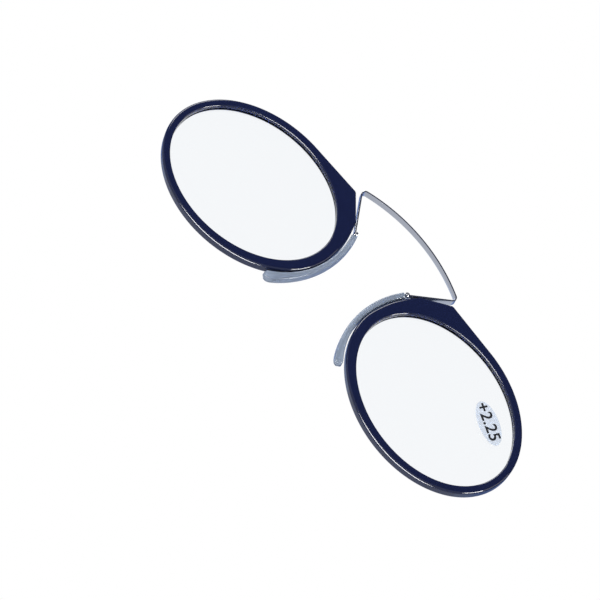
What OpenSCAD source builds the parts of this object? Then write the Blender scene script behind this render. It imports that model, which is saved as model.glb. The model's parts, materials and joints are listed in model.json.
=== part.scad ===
// Reading glasses that clip on the nose: two oval lenses in moulded rims, joined by one
// band of spring steel. Each end of the band carries a hinged nose pad in a soft sleeve.
// X runs across the face, Y from the front to the back, and Z up. The origin is on the
// midline, level with the lens centres, halfway through the depth of the rims.
// The right side, at +X, is drawn, and the left side is its mirror image.

/* [Lenses] */
// Distance between the centres of the two lenses
lens_spacing = 62.2; // [58:0.1:68]
// Half the length of the opening in a rim
opening_a = 21; // [19:0.1:23]
// Half the height of the opening in a rim
opening_b = 15.3; // [13.5:0.1:17]
// Angle that raises the nasal end of each lens
cant = 6.6; // [3:0.1:9]
// Radius of the convex front of a lens
lens_front_r = 222; // [200:1:400]
// Thickness of a lens at its edge
lens_edge = 1.1; // [0.9:0.05:1.3]
// Height of the bevel around a lens
bevel_h = 0.3; // [0.2:0.05:0.4]
// Distance of the bevel behind the middle of the rim
bevel_back = 0.2; // [0.1:0.05:0.25]
// Gap between a lens and its rim
lens_fit = 0.05; // [0.03:0.01:0.1]

/* [Rims] */
// Depth of a rim from front to back
rim_depth = 2.8; // [2.6:0.1:3.6]
// Width of a rim's face at its temple end
rim_w_side = 1.8; // [1.4:0.1:3]
// Width of a rim's face at its nasal end
rim_w_nose = 2.7; // [2:0.1:3.2]
// Width of a rim's face at the top and bottom
rim_w_top = 1.9; // [1.4:0.1:2.6]
// Distance of the upper corner's centre from the nasal end of its rim
corner_in = 7.8; // [7:0.1:10]
// Distance of the upper corner's centre below the top of its rim
corner_down = 2.2; // [1.8:0.1:3]
// Radius of the upper corner
corner_r = 1.0; // [0.6:0.1:1.6]
// Radius of the lug that the band is riveted to
lug_r = 1.2; // [1:0.1:1.6]
// Distance that the stretch between the lug and the nasal end lies back from that end
nose_arc_in = 0.15; // [0.1:0.05:0.5]
// Rounding of a rim's outer edges
rim_round = 0.5; // [0.2:0.05:0.6]
// Rounding of a rim's inner edges
rim_round_in = 0.3; // [0.1:0.05:0.4]

/* [Spring band] */
// Rise of the band's crown above the tops of the rims
crown_up = 5.6; // [4.6:0.1:7]
// Radius of the arch
arch_r = 44; // [38:0.5:60]
// Distance of the sharp bends from the nasal ends of the rims
bend_in = 7.4; // [7:0.1:8]
// Radius of a sharp bend, to the middle of the strip
bend_r = 0.9; // [0.75:0.05:1.1]
// Distance of a leg's lower end from the nasal end of its rim
leg_in = 1.5; // [1.3:0.1:2]
// Distance of a leg's lower end below the tops of the rims
leg_down = 6.2; // [5.6:0.1:7]
// Width of the strip
band_w = 2.0; // [1.8:0.1:2.2]
// Thickness of the strip
band_t = 0.35; // [0.25:0.05:0.4]
// Angle that each side opens against the spring
open_angle = 10; // [4:1:12]

/* [Rivets] */
// Distance of a rivet above the lower end of its leg
rivet_up = 2.8; // [2.4:0.1:3.2]
// Radius of a rivet's shank
rivet_r = 0.35; // [0.25:0.05:0.45]
// Radius of a rivet's head
rivet_head_r = 0.55; // [0.5:0.05:0.7]
// Height of a rivet's head
rivet_head_h = 0.15; // [0.1:0.05:0.25]
// Depth of a rivet's hole in the lug
rivet_depth = 2.0; // [1.4:0.1:2.2]
// Gap between a rivet and its holes
rivet_fit = 0.02; // [0.01:0.01:0.05]
// Gap between the lug and the strip that lies on it
lug_gap = 0.05; // [0.03:0.01:0.1]

/* [Pad hinges] */
// Radius of a hinge pin
pin_r = 0.25; // [0.2:0.05:0.3]
// Radius of a hinge knuckle
knuckle_r = 0.5; // [0.45:0.05:0.6]
// Width of the pad arm's knuckle
knuckle_w = 0.64; // [0.5:0.02:0.8]
// Gap between neighbouring knuckles
knuckle_gap = 0.06; // [0.04:0.01:0.1]
// Gap round a knuckle where the other strip is notched for it
notch_gap = 0.1; // [0.06:0.02:0.16]
// Gap between a pin and its bore
pin_fit = 0.03; // [0.02:0.01:0.05]
// Height of the closed head on each end of a pin
pin_head_h = 0.12; // [0.08:0.02:0.2]
// Overhang of a pin's head over its shank
pin_head_lip = 0.12; // [0.08:0.02:0.16]
// Distance from a pin to the middle of the strip rolled round it
roll_offset = 0.22; // [0.16:0.01:0.24]

/* [Nose pads] */
// Gap between a pad and the nasal end of its rim
pad_rim_gap = 0.15; // [0.12:0.01:0.4]
// Height of the pad arm's centre of curvature above the lens centres
arm_c_z = 1.9; // [1.4:0.1:2.4]
// Angle from a hinge to the free end of its pad arm
arm_sweep = 67; // [60:1:72]
// Thickness of a pad arm
arm_t = 0.3; // [0.2:0.05:0.35]
// Radius of the two anchor holes near an arm's free end
anchor_r = 0.28; // [0.2:0.02:0.35]
// Distance of the nearer anchor hole from the arm's free end
anchor_end = 0.7; // [0.6:0.05:1]
// Distance between the two anchor holes
anchor_pitch = 0.95; // [0.8:0.05:1.4]
// Depth of a pad from front to back
pad_w = 2.6; // [2.5:0.1:2.8]
// Thickness of a pad along its length
pad_t = 1.3; // [1.1:0.05:1.5]
// Thickness of a pad at its free end
pad_end_t = 2.0; // [1.5:0.05:2.1]
// Thickness of the silicone between an arm and the rim
pad_skin = 0.38; // [0.3:0.01:0.42]
// Distance from a hinge to the top of its pad
pad_top_gap = 0.75; // [0.7:0.05:1.4]
// Distance that a pad reaches past the end of its arm
pad_over = 1.9; // [1.4:0.1:2.4]
// Gap between an arm and the slot in its pad
slot_fit = 0.02; // [0.01:0.01:0.04]

/* [Power label] */
// Length of the label
label_l = 10.4; // [8:0.1:12]
// Height of the label
label_h = 4.8; // [3.5:0.1:6]
// Thickness of the label
label_t = 0.08; // [0.05:0.01:0.15]
// Gap between the label and the front of its lens
label_gap = 0.01; // [0.01:0.01:0.03]
// Distance of the label's middle from the temple end of the opening
label_in = 10.9; // [10:0.1:15]
// Height of the label above the lens centre
label_z = 7.3; // [2:0.1:8]
// Tilt of the label, down towards the temple
label_tilt = 13.4; // [0:0.2:24]

/* [Hidden] */

navy = [0.09, 0.11, 0.27];
steel = [0.72, 0.72, 0.74];
silicone = [0.72, 0.78, 0.86];
clear = [0.86, 0.91, 0.97];
film = [0.82, 0.88, 0.95];

// The outer outline of a rim is an oval whose centre lies towards the nose
lens_x = lens_spacing/2;
oval_a = opening_a + (rim_w_side + rim_w_nose)/2;
oval_b = opening_b + rim_w_top;
oval_x = (rim_w_side - rim_w_nose)/2;
// Nasal end of the right rim, from which the band and the pads are placed
nasal_x = lens_x + oval_x*cos(cant) - norm([oval_a*cos(cant), oval_b*sin(cant)]);

// The band: an arch about arch_c, a bend about bend_c, and a straight leg to leg_end
line_r = arch_r - band_t/2;
arch_c = [0, oval_b + crown_up - arch_r];
bend_x = nasal_x + bend_in;
bend_c = [bend_x, arch_c[1] + sqrt(pow(line_r - bend_r, 2) - pow(bend_x, 2))];
arch_half = asin(bend_x/(line_r - bend_r));
leg_end = [nasal_x + leg_in, oval_b - leg_down];
leg_run = leg_end - bend_c;
leg_angle = atan2(leg_run[1], leg_run[0]) - asin(bend_r/norm(leg_run));
leg_d = [cos(leg_angle), sin(leg_angle)];
nose_n = [sin(leg_angle), -cos(leg_angle)];
// Each bend is parted by enough for the leg to turn through open_angle
part_gap = open_angle + 5;
bend_lo = leg_angle + 90;
bend_hi = 90 - arch_half;
bend_half = (bend_hi - bend_lo - part_gap)/2;

rivet_p = leg_end - rivet_up*leg_d;
lug_p = rivet_p - (band_t/2 + lug_gap + lug_r)*nose_n;

// The hinge pin, and the arc of the arm that starts on it and passes the rim's nasal end
pin_p = leg_end + roll_offset*nose_n;
pin_l = band_w + 2*knuckle_gap + 2*pin_head_h;
knuckle_side_w = (band_w - knuckle_w)/2 - knuckle_gap;
arm_off = roll_offset + arm_t/2 + pad_skin + pad_rim_gap - nasal_x;
pin_up = pin_p[1] - arm_c_z;
arm_c = [(pow(pin_p[0], 2) + pow(pin_up, 2) - pow(arm_off, 2))/(2*(pin_p[0] + arm_off)), arm_c_z];
arm_r = norm(pin_p - arm_c) - roll_offset;
arm_start = atan2(pin_up, pin_p[0] - arm_c[0]);
arm_end = arm_start + arm_sweep;
arm_turn = 180/PI/arm_r;
pad_start = arm_start + pad_top_gap*arm_turn;
pad_end = arm_end + pad_over*arm_turn;
pad_nose_r = arm_r - arm_t/2 - pad_skin + pad_t;

// Turns a point of the glasses into the frame of the right lens
function in_lens(p) = [(p[0] - lens_x)*cos(cant) - p[1]*sin(cant),
                       (p[0] - lens_x)*sin(cant) + p[1]*cos(cant)];
lug = in_lens(lug_p);
corner = [oval_x - oval_a + corner_in, oval_b - corner_down];
// Between the lug and the nasal end a rim follows its pad, on an arc about the same centre
nose_arc_c = in_lens(arm_c);
nose_arc_r = arm_c[0] - nasal_x - nose_arc_in;

// Points of the rims and lenses lie at equal steps of the way that their outline faces
outline_steps = 100;
function outward(u) = [cos(u), sin(u)];
// Point of an oval, centred at [x, 0], where its outline faces the angle u
function oval_point(a, b, x, u) =
    let (s = norm([a*cos(u), b*sin(u)]))
    [x + a*a*cos(u)/s, b*b*sin(u)/s];
function further(p, q, u) = p*outward(u) > q*outward(u) ? p : q;
// Outer outline of a rim: the oval, the upper corner, the lug and the arc, wrapped together
function outer_point(u) =
    let (on_arc = min(max(u, arm_start + cant), 180 + cant))
    further(further(oval_point(oval_a, oval_b, oval_x, u), corner + corner_r*outward(u), u),
            further(lug + lug_r*outward(u), nose_arc_c + nose_arc_r*outward(on_arc), u), u);
function inner_point(u) = oval_point(opening_a, opening_b, 0, u);

// Distance of the front of a lens behind its crown
function crown_drop(p) =
    let (rho = opening_a*norm([p[0]/opening_a, p[1]/opening_b]))
    lens_front_r - sqrt(pow(lens_front_r, 2) - pow(rho, 2));
lens_front_y = bevel_back - lens_edge/2;
crown_y = lens_front_y - crown_drop([opening_a - lens_fit, 0]);

// Places what is drawn about a lens centre
module at_lens() {
    translate([lens_x, 0, 0]) rotate([0, cant, 0]) children();
}
// Points along an arc about c, from the step first to the step n
function arc(c, r, from, to, n, first = 0) =
    [for (i = [first:n]) c + r*outward(from + (to - from)*i/n)];
function reversed(points) = [for (i = [len(points) - 1:-1:0]) points[i]];
function mirrored(points) = [for (p = points) [-p[0], p[1]]];
// A strip across the glasses, as wide as the band, with this outline seen from the front
module strip(outline) {
    rotate([90, 0, 0]) linear_extrude(band_w, center = true) polygon(outline);
}
// A rod along Y through the point p, between y0 and y1
module rod_y(p, r, y0, y1) {
    translate([p[0], y1, p[1]]) rotate([90, 0, 0]) cylinder(r = r, h = y1 - y0, $fn = 48);
}
// A rod square to a leg, from d0 to d1 on the nose side of the strip's middle
module rod_leg(p, r, d0, d1) {
    translate([p[0], 0, p[1]]) rotate([0, 180 - leg_angle, 0])
        translate([0, 0, d0]) cylinder(r = r, h = d1 - d0, $fn = 48);
}

// Faces that join rings of m points one after another, each running the same way round
function skin(rings, m, closed = false) =
    [for (i = [0:rings - (closed ? 1 : 2)], j = [0:m - 1])
        let (a = i*m, b = ((i + 1)%rings)*m, k = (j + 1)%m)
        each [[a + j, b + j, b + k], [a + j, b + k, a + k]]];
function caps(rings, m) =
    [[for (j = [0:m - 1]) j], [for (j = [m - 1:-1:0]) (rings - 1)*m + j]];
// A closed skin over a list of rings, with a flat cap on the first and the last
module ring_skin(rings) {
    m = len(rings[0]);
    polyhedron([for (ring = rings) each ring], concat(skin(len(rings), m), caps(len(rings), m)));
}

// One side of the strip, off from its middle line: from the crown round half the right bend
function arch_side(off) =
    concat(arc(arch_c, line_r + off, 90, bend_hi, 20, first = 1),
           arc(bend_c, bend_r + off, bend_hi, bend_hi - bend_half, 10, first = 1));
module arch_shape() {
    top = arch_side(band_t/2);
    under = arch_side(-band_t/2);
    strip(concat(mirrored(reversed(top)), top, reversed(under), mirrored(under)));
}

// One side of the strip: round the rest of the bend and down the straight leg
function leg_side(off) =
    concat(arc(bend_c, bend_r + off, bend_lo + bend_half, bend_lo, 10), [leg_end - off*nose_n]);
module leg_shape() {
    notch_w = knuckle_w/2 + knuckle_gap;
    difference() {
        union() {
            difference() {
                strip(concat(leg_side(band_t/2), reversed(leg_side(-band_t/2))));
                rod_y(pin_p, knuckle_r + notch_gap, -notch_w, notch_w);
                rod_leg(rivet_p, rivet_r + rivet_fit, -1, 1);
            }
            rod_y(pin_p, knuckle_r, notch_w, band_w/2);
            rod_y(pin_p, knuckle_r, -band_w/2, -notch_w);
        }
        rod_y(pin_p, pin_r + pin_fit, -band_w, band_w);
    }
}

module rivet_shape() {
    tip_gap = 0.1;
    head_gap = 0.01;
    under = band_t/2 + head_gap;
    tip = tip_gap - band_t/2 - lug_gap - rivet_depth;
    rod_leg(rivet_p, rivet_r, tip, under + rivet_head_h/2);
    rod_leg(rivet_p, rivet_head_r, under, under + rivet_head_h);
}

module pin_shape() {
    rod_y(pin_p, pin_r, -pin_l/2, pin_l/2);
    rod_y(pin_p, pin_r + pin_head_lip, pin_l/2 - pin_head_h, pin_l/2);
    rod_y(pin_p, pin_r + pin_head_lip, -pin_l/2, pin_head_h - pin_l/2);
}

module arm_shape() {
    difference() {
        union() {
            difference() {
                strip(concat(arc(arm_c, arm_r + arm_t/2, arm_start, arm_end, 60),
                             arc(arm_c, arm_r - arm_t/2, arm_end, arm_start, 60)));
                rod_y(pin_p, knuckle_r + notch_gap, knuckle_w/2, band_w);
                rod_y(pin_p, knuckle_r + notch_gap, -band_w, -knuckle_w/2);
            }
            rod_y(pin_p, knuckle_r, -knuckle_w/2, knuckle_w/2);
        }
        rod_y(pin_p, pin_r + pin_fit, -band_w, band_w);
        for (i = [0, 1])
            translate([arm_c[0], 0, arm_c[1]])
                rotate([0, 90 - arm_end + (anchor_end + i*anchor_pitch)*arm_turn, 0])
                    translate([0, 0, arm_r - arm_t]) cylinder(r = anchor_r, h = 2*arm_t, $fn = 32);
    }
}

// Section of a rim where it faces the angle u, with the groove for the lens in its inner wall
function rim_ring(u) =
    let (n = outward(u), p = inner_point(u), q = outer_point(u), h = rim_depth/2,
         i = rim_round_in, o = rim_round, k = 1 - sqrt(0.5), m = bevel_back,
         g = lens_edge/2, deep = p + (bevel_h + 2*lens_fit)*n)
    [for (s = [[p + i*n, -h], [p + k*i*n, k*i - h], [p, i - h],
               [p, m - g], [deep, m - lens_fit], [deep, m + lens_fit], [p, m + g],
               [p, h - i], [p + k*i*n, h - k*i], [p + i*n, h],
               [q - o*n, h], [q - k*o*n, h - k*o], [q, h - o],
               [q, o - h], [q - k*o*n, k*o - h], [q - o*n, -h]])
        [s[0][0], s[1], s[0][1]]];
module rim_shape() {
    rings = [for (i = [0:outline_steps - 1]) rim_ring(360*i/outline_steps)];
    difference() {
        at_lens() polyhedron([for (ring = rings) each ring],
                             skin(outline_steps, len(rings[0]), closed = true));
        rod_leg(rivet_p, rivet_r + rivet_fit, -band_t/2 - lug_gap - rivet_depth, 1);
    }
}

// Ring of a lens at the share s of the way from its centre to its edge, at the depth y,
// or on the curve of the front where no depth is given
function lens_ring(s, grow = 0, y = undef) =
    [for (i = [0:outline_steps - 1])
        let (u = 360*i/outline_steps, p = s*(inner_point(u) + (grow - lens_fit)*outward(u)))
        [p[0], is_undef(y) ? crown_y + crown_drop(p) : y, p[1]]];
module lens_shape() {
    at_lens() ring_skin([lens_ring(1, y = lens_front_y + lens_edge),
                         lens_ring(1, grow = bevel_h, y = bevel_back),
                         for (s = [1, 0.85, 0.65, 0.4, 0.15]) lens_ring(s)]);
}

// The sections of a pad and of its slot both have 16 points, at equal steps round
pad_steps = 26;
slot_steps = 22;
section_turns = [for (k = [0:15]) 22.5*k];
function on_arm(r, y, a) = [arm_c[0] + r*cos(a), y, arm_c[1] + r*sin(a)];
function pad_ring(a) =
    let (s = (a - pad_start)/(pad_end - pad_start),
         t = pad_t + (pad_end_t - pad_t)*pow(max(0, 2*s - 1), 1.5),
         left = min(1, (pad_end - a)/arm_turn/(pad_end_t/2)),
         round = sqrt(max(0.03, 1 - pow(1 - left, 2))))
    [for (k = section_turns)
        on_arm(pad_nose_r - t/2 + t/2*round*sign(cos(k))*pow(abs(cos(k)), 0.6),
               (pad_w/2 - (1 - round)*pad_end_t/2)*sign(sin(k))*pow(abs(sin(k)), 0.6), a)];
function slot_ring(a, square = true) =
    [for (k = section_turns)
        let (m = square ? max(abs(cos(k)), abs(sin(k))) : 1)
        on_arm(arm_r + (arm_t/2 + slot_fit)*cos(k)/m, (band_w/2 + slot_fit)*sin(k)/m, a)];
// Shares of a pad's length, closer together round its free end
function pad_share(i) =
    let (last = 7, from = 0.955, n = pad_steps - last)
    i < n ? from*i/n : 1 - (1 - from)*pow((pad_steps - i)/last, 2);
// One skin that runs from the bottom of the slot to its mouth, and back over the outside
module pad_shape() {
    slot_end = arm_end + slot_fit*arm_turn;
    ring_skin([slot_ring(slot_end + arm_t*arm_turn, square = false),
               for (i = [0:slot_steps]) slot_ring(slot_end + (pad_start - slot_end)*i/slot_steps),
               for (i = [0:pad_steps]) pad_ring(pad_start + (pad_end - pad_start)*pad_share(i))]);
}

// Ring of the label's film at the share s of its size, lift in front of the lens
function label_ring(s, lift) =
    [for (i = [0:39])
        let (x = s*label_l/2*cos(9*i), z = s*label_h/2*sin(9*i),
             p = [opening_a - label_in + x*cos(label_tilt) + z*sin(label_tilt),
                  label_z - x*sin(label_tilt) + z*cos(label_tilt)])
        [p[0], crown_y + crown_drop(p) - lift, p[1]]];
module label_shape() {
    at_lens() ring_skin([for (s = [0.3, 0.6, 0.85, 1]) label_ring(s, label_gap),
                         for (s = [1, 0.85, 0.6, 0.3]) label_ring(s, label_gap + label_t)]);
}

module bridge_arch() { color(steel) arch_shape(); }
module spring_leg_right() { color(steel) leg_shape(); }
module spring_leg_left() { mirror([1, 0, 0]) spring_leg_right(); }
module rim_right() { color(navy) rim_shape(); }
module rim_left() { mirror([1, 0, 0]) rim_right(); }
module lens_right() { color(clear) lens_shape(); }
module lens_left() { mirror([1, 0, 0]) lens_right(); }
module rim_rivet_right() { color(steel) rivet_shape(); }
module rim_rivet_left() { mirror([1, 0, 0]) rim_rivet_right(); }
module hinge_pin_right() { color(steel) pin_shape(); }
module hinge_pin_left() { mirror([1, 0, 0]) hinge_pin_right(); }
module pad_arm_right() { color(steel) arm_shape(); }
module pad_arm_left() { mirror([1, 0, 0]) pad_arm_right(); }
module nose_pad_right() { color(silicone) pad_shape(); }
module nose_pad_left() { mirror([1, 0, 0]) nose_pad_right(); }
module power_label() { color(film) label_shape(); }

bridge_arch();
spring_leg_right();
spring_leg_left();
rim_right();
rim_left();
lens_right();
lens_left();
rim_rivet_right();
rim_rivet_left();
hinge_pin_right();
hinge_pin_left();
pad_arm_right();
pad_arm_left();
nose_pad_right();
nose_pad_left();
power_label();
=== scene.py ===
# Reading glasses that clip on the nose, dressed for the camera: two rims with their lenses,
# a spring band in two halves, the hinges, the pads and the power label. Lengths are metres.
import math
import json

import bpy
import bmesh
from mathutils import Matrix, Vector


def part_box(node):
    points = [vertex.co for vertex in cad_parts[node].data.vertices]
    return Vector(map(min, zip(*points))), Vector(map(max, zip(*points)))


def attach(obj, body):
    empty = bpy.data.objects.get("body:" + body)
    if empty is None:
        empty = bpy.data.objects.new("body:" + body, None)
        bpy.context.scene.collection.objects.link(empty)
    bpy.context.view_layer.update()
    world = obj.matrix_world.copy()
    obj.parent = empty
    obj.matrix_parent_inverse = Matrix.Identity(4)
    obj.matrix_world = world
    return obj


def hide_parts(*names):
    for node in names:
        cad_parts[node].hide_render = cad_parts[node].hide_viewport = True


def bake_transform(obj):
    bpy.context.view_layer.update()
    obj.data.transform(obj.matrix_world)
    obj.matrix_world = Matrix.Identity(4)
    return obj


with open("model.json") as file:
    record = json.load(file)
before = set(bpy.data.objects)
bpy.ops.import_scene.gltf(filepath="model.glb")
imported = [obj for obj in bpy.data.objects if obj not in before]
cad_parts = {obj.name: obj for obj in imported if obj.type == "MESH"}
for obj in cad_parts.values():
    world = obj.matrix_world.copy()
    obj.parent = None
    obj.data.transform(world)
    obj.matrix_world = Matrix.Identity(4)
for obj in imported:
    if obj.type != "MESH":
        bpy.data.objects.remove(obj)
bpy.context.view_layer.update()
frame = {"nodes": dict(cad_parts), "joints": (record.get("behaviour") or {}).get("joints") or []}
scene = bpy.context.scene
bpy.ops.object.select_all(action="DESELECT")
MM = 0.001

# The camera stands below the glasses, towards the side with the label, and looks up at
# them, turned on its own axis until the band runs down the right of the picture.
eye = Vector((0.1291, -0.5361, -0.2666))
aim = Vector((-0.00337, -0.00140, -0.00972))
picture_up = Vector((-0.7497, -0.4282, 0.5045))
look = (aim - eye).normalized()
picture_right = look.cross(picture_up).normalized()
camera = bpy.data.objects.new("camera", bpy.data.cameras.new("camera"))
scene.collection.objects.link(camera)
turn = Matrix((picture_right, picture_right.cross(look), -look)).transposed().to_4x4()
camera.matrix_world = Matrix.Translation(eye) @ turn
camera.data.sensor_width = 36
camera.data.lens = 170.7
camera.data.clip_start = 0.01
scene.camera = camera
scene.view_settings.view_transform = "Standard"

# The stage is a white room with a pale floor far below the glasses, lit by soft boxes. The
# room is darker in front, behind the camera, so that the flat faces of the rims stay deep.
floor_z = -0.44
floor_r = 4.0
FLOOR_SIDES = 96


def new_material(name):
    """A new material with its node tree and its shader."""
    material = bpy.data.materials.new(name)
    material.use_nodes = True
    return material, material.node_tree, material.node_tree.nodes["Principled BSDF"]


bpy.ops.mesh.primitive_circle_add(vertices=FLOOR_SIDES, radius=floor_r, fill_type="NGON",
                                  location=(0, 0, floor_z))
floor = bpy.context.object
floor.name = "floor"
floor_paint, tree, shader = new_material("floor_paint")
shader.inputs["Base Color"].default_value = (0.86, 0.87, 0.88, 1)
shader.inputs["Roughness"].default_value = 0.9
# What is polished mirrors the floor as a fixed bluish grey, a painted reflection: in mirror rays
# alone the floor glows this colour, while through a lens it is pale as it is
rays = tree.nodes.new("ShaderNodeLightPath")
painted_reflection_glow = tree.nodes.new("ShaderNodeEmission")
painted_reflection_glow.inputs["Color"].default_value = (0.50, 0.54, 0.64, 1)
in_gloss = tree.nodes.new("ShaderNodeMath")
in_gloss.operation = "SUBTRACT"
in_gloss.use_clamp = True
tree.links.new(rays.outputs["Is Glossy Ray"], in_gloss.inputs[0])
tree.links.new(rays.outputs["Is Transmission Ray"], in_gloss.inputs[1])
floor_look = tree.nodes.new("ShaderNodeMixShader")
tree.links.new(in_gloss.outputs["Value"], floor_look.inputs["Fac"])
tree.links.new(shader.outputs["BSDF"], floor_look.inputs[1])
tree.links.new(painted_reflection_glow.outputs["Emission"], floor_look.inputs[2])
tree.links.new(floor_look.outputs["Shader"], tree.nodes["Material Output"].inputs["Surface"])
floor.data.materials.append(floor_paint)

# The camera sees the room white, also through a lens. What is matt gets a soft even light
# from it, and what is polished mirrors it: pale below and behind the glasses, then blue,
# and dark above and in front of them.
world = bpy.data.worlds.new("white_room")
scene.world = world
world.use_nodes = True
tree = world.node_tree
seen = tree.nodes["Background"]
seen.inputs["Color"].default_value = (1, 1, 1, 1)
seen.inputs["Strength"].default_value = 1.0
felt = tree.nodes.new("ShaderNodeBackground")
felt.inputs["Color"].default_value = (0.95, 0.97, 1.0, 1)
felt.inputs["Strength"].default_value = 0.55
mirrored = tree.nodes.new("ShaderNodeBackground")
mirrored.inputs["Strength"].default_value = 1.0
direction = tree.nodes.new("ShaderNodeTexCoord")
slope = tree.nodes.new("ShaderNodeVectorMath")
slope.operation = "DOT_PRODUCT"
slope.inputs[1].default_value = (0, 0.5, -0.87)
tree.links.new(direction.outputs["Generated"], slope.inputs[0])
dark_to_pale = tree.nodes.new("ShaderNodeMapRange")
dark_to_pale.inputs["From Min"].default_value = -0.35
dark_to_pale.inputs["From Max"].default_value = 0.65
tree.links.new(slope.outputs["Value"], dark_to_pale.inputs["Value"])
shade = tree.nodes.new("ShaderNodeValToRGB")
shade.color_ramp.elements[0].color = (0.035, 0.045, 0.085, 1)
shade.color_ramp.elements[1].color = (0.74, 0.82, 0.95, 1)
shade.color_ramp.elements.new(0.6).color = (0.20, 0.30, 0.62, 1)
tree.links.new(dark_to_pale.outputs["Result"], shade.inputs["Fac"])
tree.links.new(shade.outputs["Color"], mirrored.inputs["Color"])
rays = tree.nodes.new("ShaderNodeLightPath")
clear_ray = tree.nodes.new("ShaderNodeMath")
clear_ray.operation = "MAXIMUM"
tree.links.new(rays.outputs["Is Camera Ray"], clear_ray.inputs[0])
tree.links.new(rays.outputs["Is Transmission Ray"], clear_ray.inputs[1])
bounced = tree.nodes.new("ShaderNodeMixShader")
tree.links.new(rays.outputs["Is Glossy Ray"], bounced.inputs["Fac"])
tree.links.new(felt.outputs["Background"], bounced.inputs[1])
tree.links.new(mirrored.outputs["Background"], bounced.inputs[2])
room_look = tree.nodes.new("ShaderNodeMixShader")
tree.links.new(clear_ray.outputs["Value"], room_look.inputs["Fac"])
tree.links.new(bounced.outputs["Shader"], room_look.inputs[1])
tree.links.new(seen.outputs["Background"], room_look.inputs[2])
tree.links.new(room_look.outputs["Shader"], tree.nodes["World Output"].inputs["Surface"])

# Each soft box: its name, place, width, height and power in watts, and whether it lights what
# is matt. The two that don't only draw the bright lines on the rounded edges of the rims, and
# stand near the plane of the glasses, where the flat front faces hardly mirror them.
for name, spot, width, height, power, on_matt in (
    ("key_box", (-0.85, -0.45, 0.45), 0.60, 0.60, 7.0, True),
    ("side_box", (0.80, -0.30, 0.25), 0.40, 0.70, 2.0, True),
    ("low_strip", (0.05, -0.07, -0.40), 0.62, 0.14, 7.6, False),
    ("side_strip", (0.83, -0.27, -0.12), 0.30, 0.34, 9.0, False),
):
    lamp = bpy.data.objects.new(name, bpy.data.lights.new(name, "AREA"))
    scene.collection.objects.link(lamp)
    lamp.data.shape = "RECTANGLE"
    lamp.data.size = width
    lamp.data.size_y = height
    lamp.data.energy = power
    lamp.visible_camera = False
    lamp.visible_diffuse = on_matt
    lamp.visible_transmission = False
    lamp.location = spot
    lamp.rotation_euler = (-Vector(spot)).to_track_quat("-Z", "Y").to_euler()

# Rims: each is one injection moulding of dark blue plastic, polished. It has a V groove for
# the lens in its inner wall, a blunt upper corner, and a lug that the band is riveted to.
# Its opening is an oval, turned by the cant in the plane of the glasses.
lens_centre = Vector((31.1, 0, 0)) * MM
cant = math.radians(6.6)
opening_a = 21.0 * MM
opening_b = 15.3 * MM
rim_depth = 2.8 * MM
rim_w_side = 1.8 * MM
rim_w_nose = 2.7 * MM
rim_w_top = 1.9 * MM
rim_round = 0.6 * MM
rim_round_in = 0.35 * MM
oval_a = opening_a + (rim_w_side + rim_w_nose) / 2
oval_b = opening_b + rim_w_top
oval_x = (rim_w_side - rim_w_nose) / 2
corner_x = oval_x - oval_a + 7.8 * MM
corner_z = oval_b - 2.2 * MM
corner_r = 1.0 * MM
lug_x = -20.478 * MM
lug_z = 9.872 * MM
lug_r = 1.2 * MM
groove_y = 0.2 * MM
groove_half = 0.55 * MM
groove_floor_half = 0.05 * MM
groove_deep = 0.4 * MM
merge_gap = 0.001 * MM
ROUND_STEPS = 8
OVAL_SIDES = 240
ARC_SIDES = 720
CORNER_SIDES = 64
SAME_SPOT = 1e-7
SHARP_EDGE = math.radians(32)
FACING_FRONT = (math.pi / 2, 0, 0)
# Between its lug and its nasal end a rim follows its pad, on an arc about the centre that
# the pad arm is bowed round
opening_joint = next(j for j in frame["joints"] if j["name"] == "right_opening")
swing_joint = next(j for j in frame["joints"] if j["name"] == "right_pad_swing")
bend_centre = Vector(opening_joint["pos_m"])
pin_centre = Vector(swing_joint["pos_m"])
roll_offset = 0.22 * MM
arm_t = 0.3 * MM
arm_c_z = 1.9 * MM
pad_skin = 0.38 * MM
pad_rim_gap = 0.15 * MM
nose_arc_in = 0.15 * MM
nasal_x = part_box("rim_right")[0][0]
arm_off = roll_offset + arm_t / 2 + pad_skin + pad_rim_gap - nasal_x
pin_up = pin_centre.z - arm_c_z
arm_centre = Vector(((pin_centre.x ** 2 + pin_up ** 2 - arm_off ** 2)
                     / (2 * (pin_centre.x + arm_off)), 0, arm_c_z))
arm_start = math.atan2(pin_up, pin_centre.x - arm_centre.x)
arc_centre = Matrix.Rotation(-cant, 4, "Y") @ (arm_centre - lens_centre)
nose_arc_r = arm_centre.x - nasal_x - nose_arc_in


def begin(name):
    """A new empty mesh at the origin, open in edit mode, that the next primitives go into."""
    bpy.ops.object.select_all(action="DESELECT")
    piece = bpy.data.objects.new(name, bpy.data.meshes.new(name))
    scene.collection.objects.link(piece)
    bpy.context.view_layer.objects.active = piece
    piece.select_set(True)
    bpy.ops.object.mode_set(mode="EDIT")
    return piece


def end(piece):
    """Closes edit mode with doubles merged and every face turned outwards."""
    bpy.ops.mesh.select_all(action="SELECT")
    bpy.ops.mesh.remove_doubles(threshold=merge_gap)
    bpy.ops.mesh.normals_make_consistent(inside=False)
    bpy.ops.mesh.select_all(action="DESELECT")
    bpy.ops.object.mode_set(mode="OBJECT")
    return piece


def choose(kind, test):
    """Selects only the faces, edges or vertices of the open mesh that pass the test."""
    bpy.ops.mesh.select_mode(type=kind)
    bpy.ops.mesh.select_all(action="DESELECT")
    mesh = bmesh.from_edit_mesh(bpy.context.object.data)
    for part in {"FACE": mesh.faces, "EDGE": mesh.edges, "VERT": mesh.verts}[kind]:
        part.select = test(part)
    mesh.select_flush_mode()
    bmesh.update_edit_mesh(bpy.context.object.data)


def faces_y(cosine):
    """A test for the faces that point along Y, to the front or the back, at least this well."""
    return lambda face: abs(face.normal.y) > cosine


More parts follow.
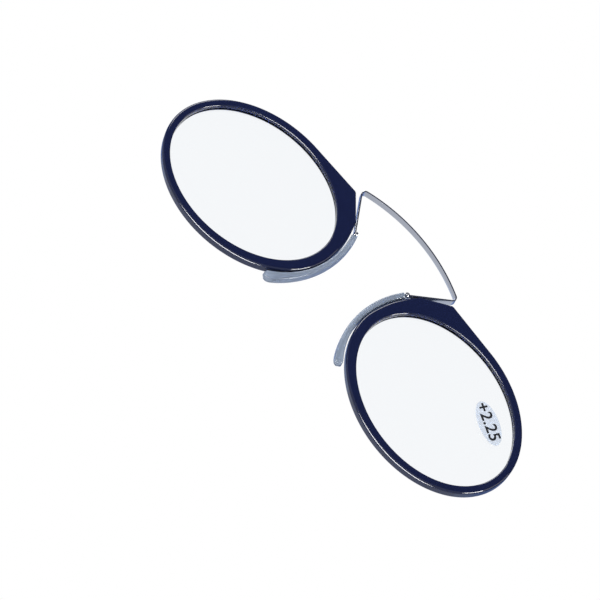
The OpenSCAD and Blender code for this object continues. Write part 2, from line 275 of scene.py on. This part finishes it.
def open_edge_at(y):
    """A test for the open edges that lie at this depth."""
    return lambda edge: edge.is_boundary and all(abs(v.co.y - y) < SAME_SPOT for v in edge.verts)


def off_the_arc(vertex):
    """Whether a vertex of the arc's disc lies outside the stretch from lug to nasal end."""
    angle = math.atan2(vertex.co.z - arc_centre.z, vertex.co.x - arc_centre.x) % (2 * math.pi)
    return not arm_start + cant <= angle <= math.pi + cant


def rings(steps, sides, solid):
    """Rings of (y, half width, half height) drawn out one after another, back along Y."""
    y, half_x, half_z = steps[0]
    bpy.ops.mesh.select_all(action="DESELECT")
    bpy.ops.mesh.primitive_circle_add(
        vertices=sides, radius=half_x, fill_type="NGON" if solid else "NOTHING",
        location=(0, y, 0), rotation=FACING_FRONT)
    bpy.ops.transform.resize(value=(1, 1, half_z / half_x), center_override=(0, y, 0))
    for (y0, x0, z0), (y1, x1, z1) in zip(steps, steps[1:]):
        if solid:
            bpy.ops.mesh.extrude_region()
        else:
            bpy.ops.mesh.extrude_edges_indiv()
        bpy.ops.transform.translate(value=(0, y1 - y0, 0))
        bpy.ops.transform.resize(value=(x1 / x0, 1, z1 / z0), center_override=(0, y1, 0))


def rounding(r, quarter):
    """Depth below a face, and distance inside a wall, along a quarter round of radius r."""
    steps = [math.pi / 2 * i / ROUND_STEPS for i in range(ROUND_STEPS + 1)]
    if quarter == "front":
        return [(r - r * math.cos(t), r - r * math.sin(t)) for t in steps]
    return [(r - r * math.sin(t), r - r * math.cos(t)) for t in steps]


def inner_wall():
    """Rings of a rim's inner wall, from its front face through the groove to its back face."""
    half = rim_depth / 2
    wall = [(-half + down, out) for down, out in rounding(rim_round_in, "front")]
    wall += [(groove_y - groove_half, 0), (groove_y - groove_floor_half, groove_deep),
             (groove_y + groove_floor_half, groove_deep), (groove_y + groove_half, 0)]
    wall += [(half - down, out) for down, out in rounding(rim_round_in, "back")]
    return [(y, opening_a + out, opening_b + out) for y, out in wall]


def put(piece, place=(0, 0, 0), turn=(0, 0, 0)):
    """Moves a finished shape to its place and leaves its object at the origin."""
    bpy.ops.object.select_all(action="DESELECT")
    bpy.context.view_layer.objects.active = piece
    piece.select_set(True)
    piece.location = place
    piece.rotation_euler = turn
    bpy.ops.object.transform_apply(location=True, rotation=True, scale=True)


def left_copy(piece):
    """The mirror image of a right-hand piece, with a mesh of its own."""
    copy = piece.copy()
    copy.data = piece.data.copy()
    copy.name = piece.name.replace("right", "left")
    copy.data.name = copy.name
    scene.collection.objects.link(copy)
    copy.data.transform(Matrix.Scale(-1, 4, (1, 0, 0)))
    copy.data.flip_normals()
    return copy


def dress(piece, material, body, nodes):
    """Gives a rigid piece its smooth shading and material, attaches it to its body when that is
    a name or else leaves it where it is, and hides its CAD nodes.
    """
    bpy.ops.object.select_all(action="DESELECT")
    bpy.context.view_layer.objects.active = piece
    piece.select_set(True)
    bpy.ops.object.shade_smooth_by_angle(angle=SHARP_EDGE)
    level = piece.modifiers.new("level", "WEIGHTED_NORMAL")
    level.keep_sharp = True
    bpy.ops.object.modifier_apply(modifier=level.name)
    piece.data.materials.append(material)
    if isinstance(body, str):
        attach(piece, body)
    else:
        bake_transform(piece)
    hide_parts(*nodes)


def dress_both(right, material, body, node):
    """Dresses a right-hand piece and its mirror image, each for its own side."""
    for piece, side in ((right, "right"), (left_copy(right), "left")):
        dress(piece, material, f"{side}_{body}", [f"{node}_{side}"])


def pattern(tree, scale, detail, stretch=(1, 1, 1)):
    """Noise on Object coordinates, with its cells stretched along the axes as given."""
    where = tree.nodes.new("ShaderNodeTexCoord")
    mapping = tree.nodes.new("ShaderNodeMapping")
    mapping.inputs["Scale"].default_value = stretch
    noise = tree.nodes.new("ShaderNodeTexNoise")
    noise.inputs["Scale"].default_value = scale
    noise.inputs["Detail"].default_value = detail
    tree.links.new(where.outputs["Object"], mapping.inputs["Vector"])
    tree.links.new(mapping.outputs["Vector"], noise.inputs["Vector"])
    return noise.outputs["Fac"]


def vary_colour(tree, shader, amount, low, high):
    """Runs the colour of a shader from low to high as the pattern does."""
    mix = tree.nodes.new("ShaderNodeMix")
    mix.data_type = "RGBA"
    mix.inputs["A"].default_value = (*low, 1)
    mix.inputs["B"].default_value = (*high, 1)
    tree.links.new(amount, mix.inputs["Factor"])
    tree.links.new(mix.outputs["Result"], shader.inputs["Base Color"])


def vary_roughness(tree, shader, amount, low, high):
    """Runs the roughness of a shader from low to high as the pattern does."""
    span = tree.nodes.new("ShaderNodeMapRange")
    span.inputs["To Min"].default_value = low
    span.inputs["To Max"].default_value = high
    tree.links.new(amount, span.inputs["Value"])
    tree.links.new(span.outputs["Result"], shader.inputs["Roughness"])


def raise_bumps(tree, shader, amount, height):
    """Bumps of this height where the pattern is high."""
    bump = tree.nodes.new("ShaderNodeBump")
    bump.inputs["Strength"].default_value = 1.0
    bump.inputs["Distance"].default_value = height
    tree.links.new(amount, bump.inputs["Height"])
    tree.links.new(bump.outputs["Normal"], shader.inputs["Normal"])


# A rim's outline is drawn tight round the arc, the oval, the corner and the lug
rim_right = begin("rim_moulding_right")
bpy.ops.mesh.primitive_cylinder_add(vertices=ARC_SIDES, radius=nose_arc_r, depth=rim_depth,
                                    location=arc_centre, rotation=FACING_FRONT)
choose("VERT", off_the_arc)
bpy.ops.mesh.delete(type="VERT")
for x, z, half_x, half_z, sides in ((oval_x, 0, oval_a, oval_b, OVAL_SIDES),
                                    (corner_x, corner_z, corner_r, corner_r, CORNER_SIDES),
                                    (lug_x, lug_z, lug_r, lug_r, CORNER_SIDES)):
    bpy.ops.mesh.select_all(action="DESELECT")
    bpy.ops.mesh.primitive_cylinder_add(vertices=sides, radius=half_x, depth=rim_depth,
                                        location=(x, 0, z), rotation=FACING_FRONT)
    bpy.ops.transform.resize(value=(1, 1, half_z / half_x), center_override=(x, 0, z))
bpy.ops.mesh.select_all(action="SELECT")
bpy.ops.mesh.convex_hull(join_triangles=False)
bpy.ops.mesh.select_all(action="SELECT")
bpy.ops.mesh.remove_doubles(threshold=merge_gap)
choose("FACE", faces_y(0.99))
bpy.ops.mesh.dissolve_faces()
choose("FACE", faces_y(0.99))
bpy.ops.mesh.region_to_loop()
bpy.ops.mesh.bevel(offset=rim_round, segments=ROUND_STEPS, loop_slide=False)
# The first faces of the rounding lean by 6 degrees, so only what is quite flat goes
choose("FACE", faces_y(0.9999))
bpy.ops.mesh.delete(type="ONLY_FACE")
rings(inner_wall(), OVAL_SIDES, solid=False)
for y in (-rim_depth / 2, rim_depth / 2):
    choose("EDGE", open_edge_at(y))
    bpy.ops.mesh.fill(use_beauty=True)
end(rim_right)
put(rim_right, lens_centre, (0, cant, 0))

navy, tree, shader = new_material("polished_navy")
vary_colour(tree, shader, pattern(tree, 60, 2), (0.0090, 0.0134, 0.051), (0.0112, 0.0166, 0.063))
vary_roughness(tree, shader, pattern(tree, 400, 3), 0.06, 0.10)
raise_bumps(tree, shader, pattern(tree, 300, 2), 0.0004 * MM)
shader.inputs["IOR"].default_value = 1.5
dress_both(rim_right, navy, "side", "rim")

# Lenses: plain reading lenses of clear optical plastic, convex in front and flat at the
# back. Each is bevelled all round and snapped into the groove of its rim.
front_r = 222.0 * MM
lens_edge = 1.1 * MM
lens_fit = 0.05 * MM
bevel_h = 0.3 * MM
lens_a = opening_a - lens_fit
lens_b = opening_b - lens_fit
lens_front_y = groove_y - lens_edge / 2
FRONT_RINGS = 14
LAST_RING = 0.03


def sag(reach):
    """Distance of the convex front behind its crown, this far out towards the temple."""
    return front_r - math.sqrt(front_r ** 2 - reach ** 2)


# The rings of the front shrink to a last small one, which a flat face closes
crown_y = lens_front_y - sag(lens_a)
shares = [math.cos(math.pi / 2 * i / FRONT_RINGS) for i in range(FRONT_RINGS)] + [LAST_RING]
lens_right = begin("lens_plastic_right")
rings([(lens_front_y + lens_edge, lens_a, lens_b),
       (groove_y, lens_a + bevel_h, lens_b + bevel_h)]
      + [(crown_y + sag(lens_a * share), lens_a * share, lens_b * share) for share in shares],
      OVAL_SIDES, solid=True)
end(lens_right)
put(lens_right, lens_centre, (0, cant, 0))
# Clear plastic lets the light of the lamps through to the groove behind it
lens_right.visible_shadow = False

optical, tree, shader = new_material("optical_plastic")
vary_colour(tree, shader, pattern(tree, 30, 1), (0.945, 0.965, 0.985), (0.955, 0.972, 0.99))
shader.inputs["Transmission Weight"].default_value = 1.0
shader.inputs["IOR"].default_value = 1.49
shader.inputs["Roughness"].default_value = 0.0
dress_both(lens_right, optical, "side", "lens")

# Spring band: one strip of bright spring steel, 2 mm wide. It bows over the nose, bends
# sharply back at each side, and its straight legs lie on the lugs of the rims.
arch_r = 44.0 * MM
band_w = 2.0 * MM
band_t = 0.35 * MM
strip_ease = 0.06 * MM
bend_r = 0.9 * MM
knuckle_r = 0.5 * MM
knuckle_w = 0.64 * MM
knuckle_gap = 0.06 * MM
knuckle_ease = 0.05 * MM
notch_gap = 0.1 * MM
bore_r = 0.28 * MM
wall_middle_r = (bore_r + knuckle_r) / 2
arch_line_r = arch_r - band_t / 2
arch_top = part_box("bridge_arch")[1][2]
arch_centre = Vector((0, 0, arch_top - arch_r))
to_bend = bend_centre - arch_centre
arch_half = math.atan2(to_bend.x, to_bend.z)
ARCH_STEPS = 60
BEND_STEPS = 40
KNUCKLE_SIDES = 40
ROD_SIDES = 48
# The leg runs from its tangent point on the bend to its end beside the hinge pin
to_pin = pin_centre - bend_centre
leg_angle = (math.atan2(to_pin.z, to_pin.x)
             - math.asin((bend_r - roll_offset) / to_pin.length))
leg_way = Vector((math.cos(leg_angle), 0, math.sin(leg_angle)))
nose_way = Vector((math.sin(leg_angle), 0, -math.cos(leg_angle)))
leg_end = pin_centre - roll_offset * nose_way
leg_start = bend_centre - bend_r * nose_way
leg_length = (leg_end - leg_start).length
bend_start = bend_centre + bend_r * to_bend.normalized()
bend_turn = -arch_half - leg_angle


def strip_section(thick, wide, at, turn=0.0, ease=strip_ease, steps=2):
    """The end face of a strip with its corners eased, facing up, or turned about Y."""
    bpy.ops.mesh.primitive_plane_add(size=thick, location=at, rotation=(0, turn, 0))
    bpy.ops.transform.resize(value=(1, wide / thick, 1), center_override=at)
    bpy.ops.mesh.bevel(offset=ease, segments=steps, affect="VERTICES")
    bpy.ops.mesh.select_mode(type="FACE")


def knuckle(y0, y1):
    """A rolled knuckle on the hinge pin, from y0 to y1, with its edges eased."""
    tube = begin("knuckle")
    end_r = knuckle_r - knuckle_ease
    section = ((y0 + knuckle_ease, knuckle_r), (y1 - knuckle_ease, knuckle_r), (y1, end_r),
               (y1, bore_r), (y0, bore_r), (y0, end_r), (y0 + knuckle_ease, knuckle_r))
    rings([(y, r, r) for y, r in section], KNUCKLE_SIDES, solid=False)
    end(tube)
    put(tube, pin_centre)
    return tube


def pin_rod(r, y0, y1):
    """A plain rod on the line of the hinge pin, from y0 to y1, for cutting."""
    rod = begin("rod")
    bpy.ops.mesh.primitive_cylinder_add(vertices=ROD_SIDES, radius=r, depth=y1 - y0,
                                        location=(pin_centre.x, (y0 + y1) / 2, pin_centre.z),
                                        rotation=FACING_FRONT)
    return end(rod)


def combine(piece, other, operation):
    """Cuts the other shape out of the piece, or adds it, and removes the other shape."""
    bpy.context.view_layer.objects.active = piece
    step = piece.modifiers.new("combine", "BOOLEAN")
    step.object = other
    step.operation = operation
    step.solver = "EXACT"
    bpy.ops.object.modifier_apply(modifier=step.name)
    bpy.data.objects.remove(other)


band_right = begin("spring_band_right")
strip_section(band_t, band_w, (0, 0, arch_centre.z + arch_line_r), math.pi / 2)
bpy.ops.mesh.spin(steps=ARCH_STEPS, angle=arch_half, center=arch_centre, axis=(0, -1, 0))
bpy.ops.mesh.spin(steps=BEND_STEPS, angle=bend_turn, center=bend_centre, axis=(0, -1, 0))
bpy.ops.mesh.extrude_region()
bpy.ops.transform.translate(value=leg_way * leg_length)
end(band_right)
# A strip ends in the middle of its knuckles' wall, clear of the pin
combine(band_right, pin_rod(wall_middle_r, -band_w, band_w), "DIFFERENCE")
# A notch between its two knuckles makes room for the one of the pad arm
notch_half = knuckle_w / 2 + knuckle_gap
combine(band_right, pin_rod(knuckle_r + notch_gap, -notch_half, notch_half), "DIFFERENCE")
# The knuckles lie a hair inside the edges of the strip, so that no two of their faces coincide
roll_in = 0.01 * MM
for y0, y1 in ((notch_half + roll_in, band_w / 2 - roll_in),
               (roll_in - band_w / 2, -notch_half - roll_in)):
    combine(band_right, knuckle(y0, y1), "UNION")

spring_steel, tree, shader = new_material("spring_steel")
shader.inputs["Metallic"].default_value = 1.0
vary_colour(tree, shader, pattern(tree, 300, 2), (0.66, 0.655, 0.65), (0.74, 0.735, 0.72))
vary_roughness(tree, shader, pattern(tree, 600, 3, (1, 6, 1)), 0.14, 0.20)
raise_bumps(tree, shader, pattern(tree, 500, 2, (1, 6, 1)), 0.0005 * MM)
# Each half of the strip is given the ends of its sharp bend, between the arch and the leg, and
# stays where it is built
for piece, side, flip in ((band_right, "right", 1), (left_copy(band_right), "left", -1)):
    ends = [Vector((point.x * flip, 0, point.z)) for point in (bend_start, leg_start)]
    dress(piece, spring_steel, ("bridge", f"{side}_side", *ends),
          ["bridge_arch", f"spring_leg_{side}"])

# Rivets: turned steel, with a low domed head on the leg. The shank is driven into the
# blind hole in the lug of the rim.
rivet_up = 2.8 * MM
rivet_r = 0.35 * MM
rivet_head_r = 0.55 * MM
rivet_head_h = 0.15 * MM
head_edge_share = 0.3
lug_gap = 0.05 * MM
rivet_depth = 1.9 * MM
head_under = band_t / 2 + 0.01 * MM
rivet_centre = leg_end - rivet_up * leg_way
DOME_STEPS = 6
RIVET_SIDES = 32
# The shank, the underside of the head and its edge, and then the dome
rivet_section = [(-band_t / 2 - lug_gap - rivet_depth, rivet_r), (head_under, rivet_r),
                 (head_under, rivet_head_r)]
for i in range(DOME_STEPS):
    slant = math.pi / 2 * i / DOME_STEPS
    height_share = head_edge_share + (1 - head_edge_share) * math.sin(slant)
    rivet_section.append((head_under + rivet_head_h * height_share,
                          rivet_head_r * math.cos(slant)))
rivet_right = begin("lug_rivet_right")
rings([(y, r, r) for y, r in rivet_section], RIVET_SIDES, solid=True)
end(rivet_right)
# Turned about X from Y up to Z, and then about Y to the side of the nose
put(rivet_right, turn=(math.pi / 2, 0, 0))
put(rivet_right, rivet_centre, (0, math.atan2(nose_way.x, nose_way.z), 0))

turned_steel, tree, shader = new_material("turned_steel")
shader.inputs["Metallic"].default_value = 1.0
vary_colour(tree, shader, pattern(tree, 1500, 2), (0.40, 0.40, 0.41), (0.52, 0.52, 0.53))
vary_roughness(tree, shader, pattern(tree, 4000, 3), 0.16, 0.30)
dress_both(rivet_right, turned_steel, "side", "rim_rivet")

# Hinge pins: tubular steel pins, through the three knuckles of each hinge. Their hollow
# ends are flared over the outer knuckles to keep them in.
pin_r = 0.25 * MM
pin_head_r = 0.37 * MM
pin_head_h = 0.12 * MM
pin_half = band_w / 2 + knuckle_gap + pin_head_h
pin_ease = 0.03 * MM
hollow_r = 0.17 * MM
hollow_depth = 0.3 * MM
hollow_middle_r = 0.02 * MM
lip_h = 0.02 * MM
PIN_SIDES = 32
# From the floor of the hollow, over its lip and down the outside of the head to the shank
one_end = [(pin_half - hollow_depth, hollow_middle_r), (pin_half - hollow_depth, hollow_r),
           (pin_half - lip_h, hollow_r), (pin_half, hollow_r + pin_ease),
           (pin_half - pin_ease, pin_head_r - pin_ease), (pin_half - 2 * pin_ease, pin_head_r),
           (pin_half - pin_head_h, pin_head_r), (pin_half - pin_head_h, pin_r)]
pin_right = begin("flared_pin_right")
rings([(-y, r, r) for y, r in one_end] + [(y, r, r) for y, r in reversed(one_end)],
      PIN_SIDES, solid=True)
end(pin_right)
put(pin_right, pin_centre)
dress_both(pin_right, turned_steel, "side", "hinge_pin")

# Pad arms: strips of thin spring steel, bowed round the rim, with one knuckle rolled at the
# top and two small holes near the free end that anchor the sleeve.
arm_sweep = math.radians(67)
anchor_r = 0.28 * MM
anchor_end = 0.7 * MM
anchor_pitch = 0.95 * MM
arm_r = (pin_centre - arm_centre).length - roll_offset
ARM_STEPS = 60
HOLE_SIDES = 32


def on_bow(r, angle, y=0.0):
    """The point at this radius and angle round the centre of a bow that lies at the origin."""
    return Vector((r * math.cos(angle), y, r * math.sin(angle)))


def drill(piece, r, at, depth, start):
    """Drills the two anchor holes into a bowed piece that begins at the angle start."""
    for i in range(2):
        angle = arm_sweep - (anchor_end + i * anchor_pitch) / arm_r - start
        hole = begin("hole")
        bpy.ops.mesh.primitive_cylinder_add(vertices=HOLE_SIDES, radius=r, depth=depth,
                                            location=on_bow(at, angle),
                                            rotation=(0, math.pi / 2 - angle, 0))
        combine(piece, end(hole), "DIFFERENCE")


arm_right = begin("pad_strip_right")
strip_section(arm_t, band_w, (arm_r, 0, 0))
bpy.ops.mesh.spin(steps=ARM_STEPS, angle=arm_sweep, center=(0, 0, 0), axis=(0, 1, 0))
end(arm_right)
drill(arm_right, anchor_r, arm_r, 4 * arm_t, 0)
put(arm_right, arm_centre, (0, -arm_start, 0))
combine(arm_right, pin_rod(wall_middle_r, -band_w, band_w), "DIFFERENCE")
# Beside its own knuckle the arm stays clear of the two knuckles of the band
for y0, y1 in ((knuckle_w / 2, band_w), (-band_w, -knuckle_w / 2)):
    combine(arm_right, pin_rod(knuckle_r + notch_gap, y0, y1), "DIFFERENCE")
combine(arm_right, knuckle(-knuckle_w / 2, knuckle_w / 2), "UNION")
dress_both(arm_right, spring_steel, "pad", "pad_arm")

# Pad sleeves: soft translucent silicone, slid over the arms. They are square at the top,
# and swell on the side of the rim into a thicker, rounded free end. Two pits on the side of
# the nose are left by the pegs that held the strip by its anchor holes in the mould.
pad_w = 2.6 * MM
pad_t = 1.3 * MM
pad_end_t = 2.0 * MM
pad_ease = 0.38 * MM
pad_top_gap = 0.75 * MM
pad_over = 1.9 * MM
swell_power = 1.5
tip_rim = 1.1 * MM
tip_nose = 2.2 * MM
tip_side = 1.3 * MM
tip_share = 0.6
dimple_r = 0.26 * MM
dimple_deep = 0.45 * MM
slot_fit = 0.02 * MM
slot_ease = 0.05 * MM
PAD_STEPS = 72
PAD_EASE_STEPS = 5
pad_start = arm_start + pad_top_gap / arm_r
pad_sweep = arm_sweep + (pad_over - pad_top_gap) / arm_r
slot_sweep = arm_sweep + (slot_fit - pad_top_gap) / arm_r
pad_nose_r = arm_r - arm_t / 2 - pad_skin + pad_t
# The round tip is nearer to the rim than to the nose, this far round the bow's centre
tip_r = pad_nose_r - pad_end_t * tip_share


def ease_off(share):
    """How much of the full size is left, this share of the way from the tip of a round end."""
    return math.sqrt(1 - (1 - min(1.0, share)) ** 2)


def swell(vertex):
    """Thickens a sleeve of even section towards its free end, and rounds that end off."""
    angle = math.atan2(vertex.co.z, vertex.co.x)
    second_half = max(0.0, 2 * angle / pad_sweep - 1)
    thick = pad_t + (pad_end_t - pad_t) * second_half ** swell_power
    across = (math.hypot(vertex.co.x, vertex.co.z) - (pad_nose_r - pad_t / 2)) / (pad_t / 2)
    to_tip = max(0.0, pad_sweep - angle) * arm_r
    bulge_rim = ease_off(to_tip / tip_rim)
    bulge = bulge_rim if across < 0 else ease_off(to_tip / tip_nose)
    middle = tip_r + (pad_nose_r - thick / 2 - tip_r) * bulge_rim
    edge = pad_nose_r if across > 0 else pad_nose_r - thick
    r = middle + (edge - middle) * bulge * abs(across)
    vertex.co = on_bow(r, angle, vertex.co.y * ease_off(to_tip / tip_side))


def open_top():
    """Takes away the end face that a bow keeps at its top, where it begins."""
    choose("FACE", lambda face: (len(face.verts) > 4
                                 and abs(face.calc_center_median().z) < SAME_SPOT))
    bpy.ops.mesh.delete(type="ONLY_FACE")


sleeve_right = begin("silicone_sleeve_right")
strip_section(pad_t, pad_w, (pad_nose_r - pad_t / 2, 0, 0), ease=pad_ease, steps=PAD_EASE_STEPS)
bpy.ops.mesh.spin(steps=PAD_STEPS, angle=pad_sweep, center=(0, 0, 0), axis=(0, 1, 0))
open_top()
bpy.ops.object.mode_set(mode="OBJECT")
for vertex in sleeve_right.data.vertices:
    swell(vertex)
bpy.ops.object.mode_set(mode="EDIT")
bpy.ops.mesh.select_all(action="DESELECT")
# The slot for the strip opens at the top, where the sleeve's end face is filled in round it
strip_section(arm_t + 2 * slot_fit, band_w + 2 * slot_fit, (arm_r, 0, 0), ease=slot_ease)
bpy.ops.mesh.spin(steps=PAD_STEPS, angle=slot_sweep, center=(0, 0, 0), axis=(0, 1, 0))
open_top()
choose("EDGE", lambda edge: (edge.is_boundary
                             and all(abs(v.co.z) < SAME_SPOT for v in edge.verts)))
bpy.ops.mesh.fill(use_beauty=True)
end(sleeve_right)
drill(sleeve_right, dimple_r, pad_nose_r, 2 * dimple_deep, pad_top_gap / arm_r)
put(sleeve_right, arm_centre, (0, -pad_start, 0))

silicone, tree, shader = new_material("sleeve_silicone")
vary_colour(tree, shader, pattern(tree, 120, 2), (0.38, 0.45, 0.57), (0.46, 0.53, 0.65))
vary_roughness(tree, shader, pattern(tree, 300, 2), 0.07, 0.12)
raise_bumps(tree, shader, pattern(tree, 400, 2), 0.001 * MM)
shader.inputs["Transmission Weight"].default_value = 0.45
shader.inputs["IOR"].default_value = 1.41
dress_both(sleeve_right, silicone, "pad", "nose_pad")

# Power label: a thin translucent oval film stuck on the front of the right lens, with the
# power of the lenses printed on it in plain figures. It is peeled off before use.
label_x = 10.1 * MM
label_z = 7.3 * MM
label_tilt = math.radians(13.4)
film_front = 0.09 * MM
film = frame["nodes"]["power_label"]
film_plastic, tree, shader = new_material("label_film")
vary_colour(tree, shader, pattern(tree, 200, 2), (0.55, 0.66, 0.84), (0.59, 0.70, 0.88))
shader.inputs["Roughness"].default_value = 0.35
shader.inputs["Alpha"].default_value = 0.32
film.data.materials.clear()
film.data.materials.append(film_plastic)

# The figures are a layer of ink on the film, which follows the curve of the lens. A
# typeface's size is larger than the height of its figures, by this factor.
size_to_figure = 1.37
figure_h = 2.75 * MM
figure_spacing = 1.05
stroke_extra = 0.06 * MM
ink_half = 0.01 * MM
ink_lift = 0.015 * MM
number_shift = -0.35 * MM
CURVE_STEPS = 6
bpy.ops.object.select_all(action="DESELECT")
bpy.ops.object.text_add(location=(0, 0, 0))
number = bpy.context.object
number.data.body = "+2.25"
number.data.align_x = "CENTER"
number.data.align_y = "CENTER"
number.data.size = figure_h * size_to_figure
number.data.space_character = figure_spacing
number.data.offset = stroke_extra
number.data.extrude = ink_half
number.data.resolution_u = CURVE_STEPS
bpy.ops.object.convert(target="MESH")
number.name = "power_number"
put(number, turn=FACING_FRONT)
put(number, (number_shift, 0, 0))
put(number, (label_x, 0, label_z), (0, label_tilt, 0))
for vertex in number.data.vertices:
    reach = opening_a * math.hypot(vertex.co.x / opening_a, vertex.co.z / opening_b)
    vertex.co.y += crown_y + sag(reach) - film_front - ink_lift
put(number, lens_centre, (0, cant, 0))

ink, tree, shader = new_material("printed_ink")
vary_colour(tree, shader, pattern(tree, 3000, 2), (0.008, 0.009, 0.012), (0.014, 0.015, 0.02))
shader.inputs["Roughness"].default_value = 0.5
number.data.materials.append(ink)
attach(number, "right_side")
